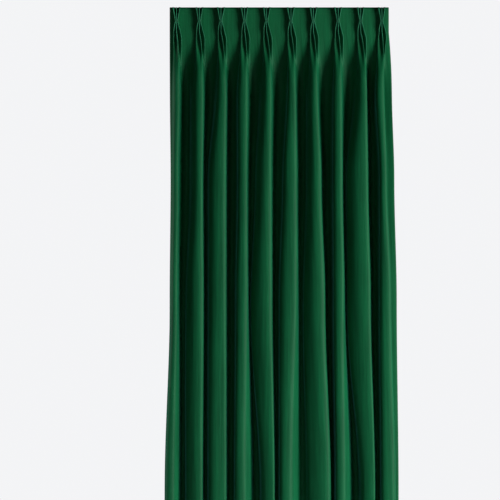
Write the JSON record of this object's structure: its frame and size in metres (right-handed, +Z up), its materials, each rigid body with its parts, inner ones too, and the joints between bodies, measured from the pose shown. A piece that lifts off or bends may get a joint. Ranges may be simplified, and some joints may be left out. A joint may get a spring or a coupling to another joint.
{
  "type": "pinch-pleated velvet drape",
  "caption": "Full-length velvet curtain panel that hangs closed in deep uneven folds from a triple pinch-pleat heading.",
  "frame": {"origin": "middle of the heading's top edge, in the plane of the flat panels between the pleats", "axes": "+Z up, so the cloth hangs towards -Z; the front, where the pleats stand out, faces -Y; +X is to the viewer's right"},
  "size_m": [1.0313, 0.1035, 2.6],
  "materials": {
    "green_velvet": "short cut pile, matt with a soft sheen along the folds"
  },
  "bodies": {
    "root": {"velvet_drape": "green_velvet"}
  },
  "joints": []
}
